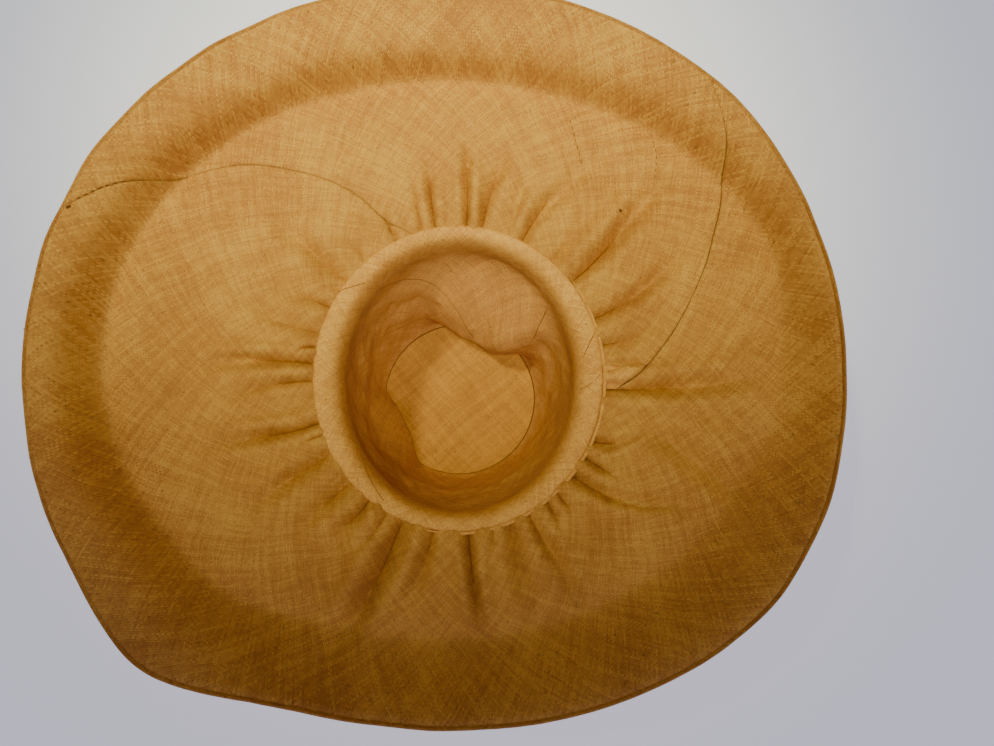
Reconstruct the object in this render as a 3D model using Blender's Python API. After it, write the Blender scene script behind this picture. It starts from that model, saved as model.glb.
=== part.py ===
"""A wide-brimmed sun hat of woven raffia cloth, lying crown down with its underside to the sky.

The crown is a soft tapering wall closed by a round tip. The brim is two curved panels, gathered into
the head opening and joined along two spiral seams. A band of folded cloth lines the opening, and a
narrow rolled hem runs round the rim. Units are metres, +Z is up, and the origin is the centre of the
tip's outer face, which is what the hat rests on.
"""

import math

import bpy
import numpy as np

# Driving dimensions
CLOTH = 0.0015                          # thickness of the woven cloth, doubled where it is lined
SEAM_GAP = 0.0004                       # clearance left between two sewn pieces
HEAD_CENTRE = (0.004, 0.006, 0.110)     # centre of the head opening, in the plane of its seam
HEAD_HALF_WIDTH = 0.0905                # half of the opening along X, at the brim seam
HEAD_HALF_LENGTH = 0.0960               # half of the opening along Y
TIP_RADIUS = 0.0568
CROWN_UPRIGHT = 0.094                   # above this height the wall is centred under the opening
BAND_WIDTH_SIDES = 0.0173               # the band's width in plan, towards +X and -X
BAND_WIDTH_ENDS = 0.0117                # the same, towards +Y and -Y
HEM_WIDTH = 0.0034                      # rolled hem, measured outward from the brim panels
HEM_HEIGHT = 0.0032

# How a gather is shaped across and along its furrow
ROOT_DEPTH = 0.7                        # share of its depth that a furrow has right at the seam
ROOT_LENGTH = 0.004                     # it reaches its full depth this far beyond the seam
FURROW_SHARPNESS = 1.7
FURROW_POWER = 1.15                     # 1 is a sharp fold across the furrow, 2 a rounded trough
LENGTH_POWER = 3                        # how long a furrow keeps its depth before it dies away
RIDGE_HEIGHT = 0.55                     # the cloth swells up beside a furrow, as a share of its depth
RIDGE_PLACE = 2.1                       # half widths from the furrow to the crest of the ridge
RIDGE_SPREAD = 1.2

# Colours
GOLDEN_STRAW = (0.73, 0.44, 0.12, 1.0)
HONEY_STRAW = (0.70, 0.41, 0.11, 1.0)
DEEP_STRAW = (0.66, 0.38, 0.10, 1.0)
PALE_STRAW = (0.76, 0.47, 0.15, 1.0)
HEM_STRAW = (0.62, 0.38, 0.13, 1.0)

# Mesh fineness
BASE_COLUMNS = 60                       # columns of a brim ring where no gather needs more
BAND_COLUMNS = 72
CROWN_COLUMNS = 52
LEAST_SPACING = 0.0013                  # columns of a brim ring stay at least this far apart

# The brim's section by direction. Reaches are from the centre of the opening, heights above its seam.
# The brim is nearly flat to flat_reach, climbs steeply to bend_reach, then eases out to the rim,
# which is the outer side of the hem.
BRIM_SECTIONS = (
    # direction, flat_reach, bend_reach, rim_reach, flat_height, bend_height, rim_height
    (0, 0.1950, 0.2190, 0.2250, 0.013, 0.0360, 0.039),
    (22, 0.2080, 0.2195, 0.2290, 0.012, 0.0310, 0.037),
    (45, 0.1990, 0.2112, 0.2312, 0.010, 0.0300, 0.042),
    (65, 0.1903, 0.2017, 0.2308, 0.009, 0.0275, 0.043),
    (90, 0.1890, 0.1990, 0.2320, 0.008, 0.0240, 0.043),
    (110, 0.1935, 0.2065, 0.2364, 0.009, 0.0305, 0.043),
    (130, 0.2040, 0.2140, 0.2423, 0.011, 0.0275, 0.044),
    (150, 0.2140, 0.2268, 0.2480, 0.012, 0.0330, 0.043),
    (170, 0.2165, 0.2325, 0.2460, 0.013, 0.0385, 0.044),
    (190, 0.2095, 0.2270, 0.2410, 0.013, 0.0405, 0.045),
    (210, 0.1955, 0.2110, 0.2350, 0.013, 0.0370, 0.050),
    (225, 0.1860, 0.2050, 0.2290, 0.013, 0.0400, 0.058),
    (240, 0.1680, 0.1940, 0.2065, 0.012, 0.0450, 0.057),
    (260, 0.1580, 0.1870, 0.1955, 0.012, 0.0470, 0.053),
    (285, 0.1570, 0.1860, 0.1965, 0.012, 0.0470, 0.054),
    (305, 0.1630, 0.1940, 0.2055, 0.012, 0.0460, 0.053),
    (322, 0.1720, 0.2060, 0.2160, 0.012, 0.0460, 0.051),
    (340, 0.1840, 0.2140, 0.2215, 0.013, 0.0420, 0.047),
)

# The two seams between the brim's panels, each a spiral from the opening out to the rim.
RIGHT_SEAM = (
    # reach, direction
    (0.092, -6.0),
    (0.109, -1.0),
    (0.130, 8.5),
    (0.153, 18.0),
    (0.179, 27.4),
    (0.206, 36.5),
    (0.234, 51.3),
)
LEFT_SEAM = (
    # reach, direction
    (0.092, 106.0),
    (0.103, 112.5),
    (0.133, 119.3),
    (0.164, 127.7),
    (0.196, 137.6),
    (0.220, 147.6),
    (0.246, 157.5),
)

# Gathers: furrows that run outward from the opening and die away. Directions are in degrees, at the
# seam and at the far end; length, half_width and depth are in metres.
GATHERS = (
    # start, end, length, half_width, depth
    (2, 4, 0.018, 0.0025, 0.0026),
    (12, 11, 0.034, 0.0039, 0.0037),
    (23, 27, 0.062, 0.0038, 0.0045),
    (34, 34, 0.014, 0.0034, 0.0026),
    (40, 46, 0.076, 0.0042, 0.0062),
    (51, 51, 0.035, 0.0034, 0.0019),
    (65, 60, 0.052, 0.0041, 0.0056),
    (70, 71, 0.040, 0.0030, 0.0022),
    (81, 77, 0.056, 0.0032, 0.0041),
    (87, 88, 0.060, 0.0028, 0.0056),
    (99, 98, 0.052, 0.0025, 0.0036),
    (104, 103, 0.050, 0.0025, 0.0026),
    (115, 115, 0.030, 0.0028, 0.0034),
    (128, 127, 0.020, 0.0034, 0.0018),
    (140, 139, 0.052, 0.0057, 0.0041),
    (152, 155, 0.032, 0.0030, 0.0034),
    (163, 164, 0.044, 0.0041, 0.0030),
    (169, 173, 0.016, 0.0025, 0.0034),
    (175, 176, 0.078, 0.0034, 0.0050),
    (182, 189, 0.068, 0.0030, 0.0036),
    (199, 195, 0.056, 0.0032, 0.0056),
    (204, 203, 0.018, 0.0023, 0.0026),
    (212, 211, 0.052, 0.0048, 0.0045),
    (225, 221, 0.042, 0.0048, 0.0045),
    (235, 232, 0.032, 0.0030, 0.0045),
    (243, 239, 0.036, 0.0034, 0.0037),
    (249, 248, 0.076, 0.0057, 0.0064),
    (261, 259, 0.034, 0.0041, 0.0045),
    (274, 276, 0.064, 0.0034, 0.0064),
    (283, 279, 0.017, 0.0025, 0.0029),
    (289, 285, 0.050, 0.0051, 0.0041),
    (297, 298, 0.042, 0.0037, 0.0041),
    (305, 303, 0.024, 0.0028, 0.0034),
    (310, 310, 0.020, 0.0023, 0.0030),
    (319, 331, 0.070, 0.0037, 0.0056),
    (327, 327, 0.034, 0.0030, 0.0045),
    (334, 341, 0.024, 0.0034, 0.0045),
    (355, 358, 0.058, 0.0041, 0.0052),
)

# Soft creases of the brim beyond the gathers: each is a shallow hollow, or a swelling where its
# depth is negative, round a point at reach and direction.
CREASES = (
    # direction, reach, half_spread, half_reach, depth
    (205, 0.185, 16, 0.040, 0.0022),
    (222, 0.150, 10, 0.030, -0.0018),
    (338, 0.165, 14, 0.030, 0.0024),
    (352, 0.185, 12, 0.028, -0.0022),
    (18, 0.165, 14, 0.030, -0.0020),
    (45, 0.160, 12, 0.034, 0.0016),
    (150, 0.160, 18, 0.030, -0.0016),
    (240, 0.140, 12, 0.022, 0.0016),
    (300, 0.140, 14, 0.024, -0.0014),
)

# The crown's wall from its top edge down to the tip.
CROWN_SECTIONS = (
    # height, half_width, half_length
    (0.1082, 0.0872, 0.0926),
    (0.1055, 0.0812, 0.0898),
    (0.1010, 0.0788, 0.0884),
    (0.0940, 0.0773, 0.0873),
    (0.0800, 0.0753, 0.0842),
    (0.0620, 0.0716, 0.0785),
    (0.0460, 0.0686, 0.0735),
    (0.0340, 0.0662, 0.0697),
    (0.0240, 0.0642, 0.0664),
    (0.0150, 0.0622, 0.0634),
    (0.0080, 0.0602, 0.0608),
    (0.0030, 0.0581, 0.0581),
)

# Dents where the soft wall has sunk inward above the tip.
CROWN_DENTS = (
    # direction, half_spread, height, reach_up, reach_down, depth
    (70, 50, 0.028, 0.062, 0.023, 0.027),
    (47, 20, 0.044, 0.045, 0.030, 0.008),
    (205, 35, 0.004, 0.034, 0.020, 0.0115),
    (300, 44, 0.055, 0.040, 0.040, 0.003),
)

# The band's section, from its outer edge over the roll and down inside. across is a share of the
# band's width, and rise is above the plane of the seam.
BAND_SECTION = (
    # across, rise
    (0.000, -0.0009),
    (0.000, 0.0018),
    (0.060, 0.0031),
    (0.215, 0.0036),
    (0.470, 0.0031),
    (0.740, 0.0006),
    (0.925, -0.0052),
    (1.000, -0.0140),
    (0.900, -0.0142),
    (0.815, -0.0082),
    (0.635, -0.0033),
    (0.400, 0.0004),
    (0.220, 0.0014),
    (0.135, -0.0009),
)

# The hem's section, from its inner lower corner round to its inner upper one.
HEM_SECTION = (
    # share of the hem's width outward, share of its half height up
    (0.00, -0.85),
    (0.55, -1.00),
    (0.92, -0.60),
    (1.00, 0.10),
    (0.80, 0.80),
    (0.35, 1.00),
    (0.00, 0.80),
)

# The tip's section from near its centre out to its margin, which turns up towards the wall.
TIP_SECTION = (
    # share of the tip's radius, lift of the cloth
    (0.45, 0.0),
    (0.84, 0.0),
    (1.00, 0.0020),
)

# Rings of the brim mesh: the zones lie between the section's knots, from the seam to the rim.
BRIM_RINGS = (
    # zone, share of the way across it
    (0, 0.00),
    (0, 0.05),
    (0, 0.12),
    (0, 0.22),
    (0, 0.34),
    (0, 0.50),
    (0, 0.70),
    (0, 0.87),
    (0, 1.00),
    (1, 0.20),
    (1, 0.42),
    (1, 0.70),
    (1, 1.00),
    (2, 0.50),
    (2, 1.00),
)


def interpolate(rows, at, column, period=None):
    """Value of one column of a table at a key, on a smooth curve through its rows."""
    keys = np.array([row[0] for row in rows], dtype=float)
    values = np.array([row[column] for row in rows], dtype=float)
    if period:
        at = at % period
        keys = np.concatenate((keys - period, keys, keys + period))
        values = np.tile(values, 3)
    slopes = np.gradient(values, keys)
    index = int(np.clip(np.searchsorted(keys, at) - 1, 0, len(keys) - 2))
    span = keys[index + 1] - keys[index]
    share = float(np.clip((at - keys[index]) / span, 0.0, 1.0))
    square, cube = share ** 2, share ** 3
    return (values[index] * (2 * cube - 3 * square + 1)
            + values[index + 1] * (3 * square - 2 * cube)
            + slopes[index] * span * (cube - 2 * square + share)
            + slopes[index + 1] * span * (cube - square))


def turn_between(direction, other):
    """Signed turn in degrees from one direction to another, within half a turn."""
    return (direction - other + 180.0) % 360.0 - 180.0


def fade(share, power=2):
    """A smooth hump: 1 at share 0, falling to 0 at share 1 and beyond."""
    return max(0.0, 1.0 - abs(share) ** power) ** 2


def ellipse_reach(half_width, half_length, direction):
    """Distance from an ellipse's centre to its edge, in a direction in degrees."""
    angle = math.radians(direction)
    return 1.0 / math.hypot(math.cos(angle) / half_width, math.sin(angle) / half_length)


def head_reach(direction):
    """Distance from the centre of the opening to the brim seam."""
    return ellipse_reach(HEAD_HALF_WIDTH, HEAD_HALF_LENGTH, direction)


def seam_direction(seam, reach):
    """Direction of a panel seam at a reach from the centre of the opening."""
    return interpolate(seam, reach, 1)


def gather_direction(gather, distance):
    """Direction of a gather's furrow at a distance beyond the opening's seam."""
    start, end, length = gather[:3]
    share = min(distance / length, 1.0)
    return start + turn_between(end, start) * share ** 2


def gather_depth(direction, reach):
    """Depth of all gathers together at one place of the brim."""
    distance = max(reach - head_reach(direction), 0.0)
    depth = 0.0
    for gather in GATHERS:
        length, half_width, furrow = gather[2:]
        if distance >= length:
            continue
        turn = turn_between(direction, gather_direction(gather, distance))
        across = math.radians(turn) * reach / half_width
        strength = furrow * fade(distance / length, LENGTH_POWER)
        strength *= ROOT_DEPTH + (1.0 - ROOT_DEPTH) * min(distance / ROOT_LENGTH, 1.0)
        ridge = RIDGE_HEIGHT * math.exp(-((abs(across) - RIDGE_PLACE) / RIDGE_SPREAD) ** 2)
        depth += strength * (math.exp(-FURROW_SHARPNESS * abs(across) ** FURROW_POWER) - ridge)
    return depth


def crease_depth(direction, reach):
    """Depth of the soft creases at one place of the brim."""
    depth = 0.0
    for place, centre, half_spread, half_reach, hollow in CREASES:
        spread = turn_between(direction, place) / half_spread
        along = (reach - centre) / half_reach
        depth += hollow * fade(math.hypot(spread, along))
    return depth


def brim_profile(direction):
    """Reaches and heights of the brim's four knots in one direction, seam to rim."""
    columns = [interpolate(BRIM_SECTIONS, direction, column, period=360.0) for column in range(1, 7)]
    reaches = [head_reach(direction), columns[0], columns[1], columns[2] - HEM_WIDTH - SEAM_GAP]
    heights = [0.0, columns[3], columns[4], columns[5]]
    return reaches, heights


def brim_height(direction, reach):
    """Height of the brim's mid-surface above the seam's plane."""
    reaches, heights = brim_profile(direction)
    rises = [(heights[i + 1] - heights[i]) / (reaches[i + 1] - reaches[i]) for i in range(3)]
    slopes = [rises[0] * 0.5]
    slopes += [2 * rises[i] * rises[i + 1] / (rises[i] + rises[i + 1]) for i in range(2)]
    slopes += [rises[2]]
    knot = 0 if reach < reaches[1] else 1 if reach < reaches[2] else 2
    span = reaches[knot + 1] - reaches[knot]
    share = min(max((reach - reaches[knot]) / span, 0.0), 1.0)
    square, cube = share ** 2, share ** 3
    height = (heights[knot] * (2 * cube - 3 * square + 1)
              + heights[knot + 1] * (3 * square - 2 * cube)
              + slopes[knot] * span * (cube - 2 * square + share)
              + slopes[knot + 1] * span * (cube - square))
    return height - gather_depth(direction, reach) - crease_depth(direction, reach)


def brim_point(direction, reach):
    """Point of the brim's mid-surface."""
    angle = math.radians(direction)
    return np.array((HEAD_CENTRE[0] + reach * math.cos(angle),
                     HEAD_CENTRE[1] + reach * math.sin(angle),
                     HEAD_CENTRE[2] + brim_height(direction, reach)))


def brim_normal(direction, reach):
    """Upward unit normal of the brim's mid-surface."""
    step = 0.0004
    turn = math.degrees(step / reach)
    inner = reach - step
    outer = min(reach + step, brim_profile(direction)[0][3])
    outward = brim_point(direction, outer) - brim_point(direction, inner)
    around = brim_point(direction + turn, reach) - brim_point(direction - turn, reach)
    normal = np.cross(outward, around)
    return normal / np.linalg.norm(normal)


def ring_reach(direction, zone, share):
    """Reach of a ring of the brim mesh: a share of the way across one zone of the section."""
    reaches = brim_profile(direction)[0]
    reaches[0] += SEAM_GAP
    return reaches[zone] + (reaches[zone + 1] - reaches[zone]) * share


def ring_columns(zone, share):
    """Directions of a brim ring's columns: the gathers' furrows and flanks first, then an even fill."""
    chosen = []

    def add(direction):
        reach = ring_reach(direction, zone, share)
        least = math.degrees(LEAST_SPACING / reach)
        if all(abs(turn_between(direction, other)) > least for other in chosen):
            chosen.append(direction % 360.0)

    for side in (0.0, -1.0, 1.0):
        for gather in GATHERS:
            start, end, length, half_width, depth = gather
            reach = ring_reach(start, zone, share)
            distance = reach - head_reach(start)
            if distance < length:
                add(gather_direction(gather, distance) + side * math.degrees(half_width / reach))
    fill = 360.0 / BASE_COLUMNS
    for column in range(BASE_COLUMNS):
        direction = column * fill
        if all(abs(turn_between(direction, other)) > 0.45 * fill for other in chosen):
            add(direction)
    return sorted(chosen)


def seam_crossing(seam, zone, share, side):
    """Direction where a ring meets a panel seam, moved off it by half the gap to one side."""
    direction = seam[0][1]
    for _ in range(12):
        reach = ring_reach(direction, zone, share)
        direction = seam_direction(seam, reach)
    return direction + side * math.degrees(0.5 * SEAM_GAP / reach)


def zip_rows(lower, upper):
    """Triangles between two rows of (direction, index), both sorted; the end columns come last."""
    triangles = []
    i = j = 0
    while i < len(lower) - 1 or j < len(upper) - 1:
        next_lower = lower[i + 1][0] if i < len(lower) - 2 else math.inf
        next_upper = upper[j + 1][0] if j < len(upper) - 2 else math.inf
        lower_is_done = i == len(lower) - 1
        upper_is_done = j == len(upper) - 1
        if upper_is_done or (not lower_is_done and next_lower <= next_upper):
            triangles.append((lower[i][1], upper[j][1], lower[i + 1][1]))
            i += 1
        else:
            triangles.append((lower[i][1], upper[j][1], upper[j + 1][1]))
            j += 1
    return triangles


def build_brim_panel(name, first_seam, last_seam, wraps, colour):
    """One panel of the brim, between two seams, as a closed sheet of cloth.

    Its cut edges are upright among the gathers, so that they stay clear of the neighbouring pieces.
    """
    top, bottom, rows = [], [], []
    for zone, share in BRIM_RINGS:
        first = seam_crossing(first_seam, zone, share, 1.0)
        last = seam_crossing(last_seam, zone, share, -1.0) + (360.0 if wraps else 0.0)
        margin = math.degrees(LEAST_SPACING / ring_reach(first, zone, share))
        columns = [column + lap for column in ring_columns(zone, share) for lap in (-360.0, 0.0, 360.0)]
        columns = sorted(column for column in columns if first + margin < column < last - margin)
        row = []
        for direction in [first] + columns + [last]:
            reach = ring_reach(direction, zone, share)
            point = brim_point(direction, reach)
            up = brim_normal(direction, reach)
            if zone == 0 and (not rows or direction in (first, last)):
                up = np.array((0.0, 0.0, 1.0 / max(up[2], 0.6)))
            half = 0.5 * CLOTH * up
            row.append((direction, len(top)))
            top.append(point + half)
            bottom.append(point - half)
        rows.append(row)
    count = len(top)
    faces = []
    for inner, outer in zip(rows, rows[1:]):
        for a, b, c in zip_rows(inner, outer):
            faces.append((a, b, c))
            faces.append((count + a, count + c, count + b))
    border = [index for _, index in rows[0]]
    border += [row[-1][1] for row in rows[1:]]
    border += [index for _, index in reversed(rows[-1][:-1])]
    border += [row[0][1] for row in reversed(rows[1:-1])]
    for start, end in zip(border, border[1:] + border[:1]):
        faces.append((start, end, count + end, count + start))
    add_piece(name, top + bottom, faces, colour)


def sweep_closed(name, columns, section_at, colour):
    """A ring-shaped piece: a closed section, given by section_at for each column, swept round the hat."""
    sections = [section_at(column) for column in columns]
    size = len(sections[0])
    points = [point for section in sections for point in section]
    faces = []
    for column in range(len(sections)):
        here, there = column * size, (column + 1) % len(sections) * size
        for k in range(size):
            nxt = (k + 1) % size
            faces.append((here + k, there + k, there + nxt, here + nxt))
    add_piece(name, points, faces, colour)


def build_head_band():
    """The folded band that lines the opening, with its roll standing a little proud of the brim."""

    def section_at(direction):
        angle = math.radians(direction)
        sideways = math.cos(angle) ** 2
        width = BAND_WIDTH_ENDS + (BAND_WIDTH_SIDES - BAND_WIDTH_ENDS) * sideways
        points = []
        for across, rise in BAND_SECTION:
            reach = head_reach(direction) - across * width
            points.append((HEAD_CENTRE[0] + reach * math.cos(angle),
                           HEAD_CENTRE[1] + reach * math.sin(angle),
                           HEAD_CENTRE[2] + rise))
        return points

    columns = [360.0 * column / BAND_COLUMNS for column in range(BAND_COLUMNS)]
    sweep_closed("head_band", columns, section_at, PALE_STRAW)


def build_brim_edge():
    """The narrow rolled hem round the rim, butted against the outer edge of both panels."""
    half = 0.5 * HEM_HEIGHT
    step = 0.5

    def rim_point(direction):
        return brim_point(direction, brim_profile(direction)[0][3])

    def section_at(direction):
        up = brim_normal(direction, brim_profile(direction)[0][3])
        out = np.cross(rim_point(direction + step) - rim_point(direction - step), up)
        out /= np.linalg.norm(out)
        return [rim_point(direction) + out * (SEAM_GAP + along * HEM_WIDTH) + up * (rise * half)
                for along, rise in HEM_SECTION]

    columns = set(ring_columns(2, 1.0))
    columns.add(seam_crossing(RIGHT_SEAM, 2, 1.0, 0.0) % 360.0)
    columns.add(seam_crossing(LEFT_SEAM, 2, 1.0, 0.0) % 360.0)
    sweep_closed("brim_edge", sorted(columns), section_at, HEM_STRAW)


def dent_depth(direction, height):
    """How far the crown's wall has sunk inward at one place."""
    depth = 0.0
    for place, half_spread, centre, reach_up, reach_down, sunk in CROWN_DENTS:
        rise = height - centre
        along = rise / (reach_up if rise > 0.0 else reach_down)
        depth += sunk * fade(turn_between(direction, place) / half_spread, 3) * fade(along)
    return depth


def crown_point(direction, height):
    """Point of the crown wall's mid-surface."""
    angle = math.radians(direction)
    half_width = interpolate(CROWN_SECTIONS[::-1], height, 1)
    half_length = interpolate(CROWN_SECTIONS[::-1], height, 2)
    reach = ellipse_reach(half_width, half_length, direction) - dent_depth(direction, height)
    lean = min(height / CROWN_UPRIGHT, 1.0)
    return np.array((HEAD_CENTRE[0] * lean + reach * math.cos(angle),
                     HEAD_CENTRE[1] * lean + reach * math.sin(angle),
                     height))


def build_crown_side():
    """The crown's tapering wall, one closed sheet from under the band down to the tip."""
    heights = [row[0] for row in CROWN_SECTIONS]
    step = 1.0

    def section_at(direction):
        middle = [crown_point(direction, height) for height in heights]
        inner, outer = [], []
        for index, point in enumerate(middle):
            along = middle[min(index + 1, len(middle) - 1)] - middle[max(index - 1, 0)]
            around = crown_point(direction + step, heights[index])
            around = around - crown_point(direction - step, heights[index])
            out = np.cross(along, around)
            out /= np.linalg.norm(out)
            inner.append(point - 0.5 * CLOTH * out)
            outer.append(point + 0.5 * CLOTH * out)
        return inner + outer[::-1]

    columns = [360.0 * column / CROWN_COLUMNS for column in range(CROWN_COLUMNS)]
    sweep_closed("crown_side", columns, section_at, DEEP_STRAW)


def build_crown_tip():
    """The round tip that closes the crown, flat where it rests and turned up at its margin."""
    points = [(0.0, 0.0, 0.0), (0.0, 0.0, CLOTH)]
    rings = []
    for share, lift in TIP_SECTION:
        ring = []
        for column in range(CROWN_COLUMNS):
            direction = 360.0 * column / CROWN_COLUMNS
            angle = math.radians(direction)
            reach = (TIP_RADIUS - dent_depth(direction, CROWN_SECTIONS[-1][0])) * share
            place = (reach * math.cos(angle), reach * math.sin(angle))
            ring.append(len(points))
            points.append((*place, lift))
            points.append((*place, lift + CLOTH))
        rings.append(ring)
    faces = []
    for column in range(CROWN_COLUMNS):
        nxt = (column + 1) % CROWN_COLUMNS
        faces.append((0, rings[0][nxt], rings[0][column]))
        faces.append((1, rings[0][column] + 1, rings[0][nxt] + 1))
        for inner, outer in zip(rings, rings[1:]):
            faces.append((inner[column], inner[nxt], outer[nxt], outer[column]))
            faces.append((inner[column] + 1, outer[column] + 1, outer[nxt] + 1, inner[nxt] + 1))
        edge = rings[-1]
        faces.append((edge[column], edge[nxt], edge[nxt] + 1, edge[column] + 1))
    add_piece("crown_tip", points, faces, GOLDEN_STRAW)


def add_piece(name, points, faces, colour):
    """Make one named mesh object with its own straw material, shaded smooth."""
    mesh = bpy.data.meshes.new(name)
    mesh.from_pydata([tuple(float(value) for value in point) for point in points], [], faces)
    mesh.validate()
    material = bpy.data.materials.new(name)
    material.use_nodes = True
    shader = material.node_tree.nodes["Principled BSDF"]
    shader.inputs["Base Color"].default_value = colour
    shader.inputs["Roughness"].default_value = 0.7
    shader.inputs["Metallic"].default_value = 0.0
    mesh.materials.append(material)
    mesh.shade_smooth()
    mesh.set_sharp_from_angle(angle=math.radians(50.0))
    piece = bpy.data.objects.new(name, mesh)
    bpy.context.scene.collection.objects.link(piece)


for leftover in list(bpy.data.objects):
    bpy.data.objects.remove(leftover, do_unlink=True)

build_crown_tip()
build_crown_side()
build_head_band()
build_brim_panel("brim_panel_upper", RIGHT_SEAM, LEFT_SEAM, False, GOLDEN_STRAW)
build_brim_panel("brim_panel_lower", LEFT_SEAM, RIGHT_SEAM, True, HONEY_STRAW)
build_brim_edge()
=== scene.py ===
"""The looks of a woven straw sun hat that lies crown down, seen into its underside.

The hat is dressed in the order in which it is sewn: the tip, the crown's wall, the band in the
opening, the two gathered brim panels, the rolled hem and the sewing threads. Units are metres.
"""

import math

import bpy
import numpy as np
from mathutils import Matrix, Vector


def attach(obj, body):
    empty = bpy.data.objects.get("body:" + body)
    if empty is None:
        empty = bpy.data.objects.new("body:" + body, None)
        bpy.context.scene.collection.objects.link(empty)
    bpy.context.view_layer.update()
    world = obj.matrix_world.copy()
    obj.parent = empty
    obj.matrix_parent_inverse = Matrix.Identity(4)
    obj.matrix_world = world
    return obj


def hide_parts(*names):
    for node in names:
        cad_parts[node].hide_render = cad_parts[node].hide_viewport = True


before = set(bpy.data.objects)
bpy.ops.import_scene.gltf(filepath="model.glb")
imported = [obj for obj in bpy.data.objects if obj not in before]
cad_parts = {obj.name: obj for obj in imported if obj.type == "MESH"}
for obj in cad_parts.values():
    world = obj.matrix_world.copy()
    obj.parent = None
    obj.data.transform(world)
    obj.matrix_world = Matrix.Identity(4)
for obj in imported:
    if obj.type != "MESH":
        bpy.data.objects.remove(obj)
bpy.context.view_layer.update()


# The camera
# It looks down into the opening, leaning a little towards the near side of the brim. The frame is
# 994 by 746, and the view is about 66 degrees wide.
CAMERA_PLACE = (0.0284, -0.0466, 0.5852)
CAMERA_LEAN = 6.5
CAMERA_WIDTH = 66.0


def put_in_scene(name, data):
    """A new object in the scene that holds a mesh, a camera or a lamp."""
    made = bpy.data.objects.new(name, data)
    bpy.context.scene.collection.objects.link(made)
    return made


camera_data = bpy.data.cameras.new("camera")
camera_data.sensor_fit = "HORIZONTAL"
camera_data.angle = math.radians(CAMERA_WIDTH)
camera_data.clip_start = 0.01
camera = put_in_scene("camera", camera_data)
camera.location = CAMERA_PLACE
camera.rotation_euler = (math.radians(CAMERA_LEAN), 0.0, 0.0)
bpy.context.scene.camera = camera


# The crown's tip
# A round of raffia cloth, woven straight and laid with its grain across the hat. It is flat where
# the hat rests, its margin is turned up, and it is sewn to the wall with a dark thread.
CLOTH = 0.0015
TIP_RADIUS = 0.0568
TIP_EDGE_LIFT = 0.002
TIP_FLAT = 0.84
TIP_GRAIN = 41.0
TIP_RINGS = 64
TIP_COLUMNS = 300
TIP_SEAM_HEIGHT = 0.003
TIP_BUCKLE = 0.0011
TIP_BUCKLE_SIZE = 0.045
TIP_YARN = 0.0011
TIP_TONES = ((0.49, 0.215, 0.034), (0.59, 0.278, 0.043), (0.7, 0.35, 0.054))

CROWN_DENTS = (
    # direction, half_spread, height, reach_up, reach_down, depth
    (70, 50, 0.028, 0.062, 0.023, 0.027),
    (47, 20, 0.044, 0.045, 0.03, 0.008),
    (205, 35, 0.004, 0.034, 0.02, 0.0115),
    (300, 44, 0.055, 0.04, 0.04, 0.003),
)


def directions_round(columns, more=0):
    """Directions in degrees of a grid's columns round the hat, and of more columns after them."""
    return np.arange(columns + more) * 360.0 / columns


def step_towards(direction):
    """The x and the y of a step of length 1 in each direction."""
    angle = np.radians(direction)
    return np.cos(angle), np.sin(angle)


def turn_between(direction, other):
    """Signed turn in degrees from one direction to another, within half a turn."""
    return (direction - other + 180.0) % 360.0 - 180.0


def fade(share, power=2):
    """A smooth hump: 1 at share 0, falling to 0 at share 1 and beyond."""
    return np.maximum(0.0, 1.0 - np.abs(share) ** power) ** 2


def bell(distance, width):
    """A smooth hump: 1 at distance 0, about a third at the width and almost 0 at twice it."""
    return np.exp(-(distance / width) ** 2)


def dent_depth(direction, height):
    """How far the crown's wall has sunk inward at each place."""
    depth = 0.0
    for place, half_spread, centre, reach_up, reach_down, sunk in CROWN_DENTS:
        rise = height - centre
        along = rise / np.where(rise > 0.0, reach_up, reach_down)
        depth = depth + sunk * fade(turn_between(direction, place) / half_spread, 3) * fade(along)
    return depth


def ripple(x, y, size, seed, waves=9):
    """Gentle uneven waves from about -1 to 1, with crests roughly size apart."""
    draw = np.random.default_rng(seed)
    total = np.zeros(np.broadcast(x, y).shape)
    for _ in range(waves):
        heading, shift = draw.uniform(0.0, 2.0 * math.pi, 2)
        stretch = draw.uniform(0.7, 1.5) * 2.0 * math.pi / size
        total += np.sin((x * math.cos(heading) + y * math.sin(heading)) * stretch + shift)
    return total / math.sqrt(waves)


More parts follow.
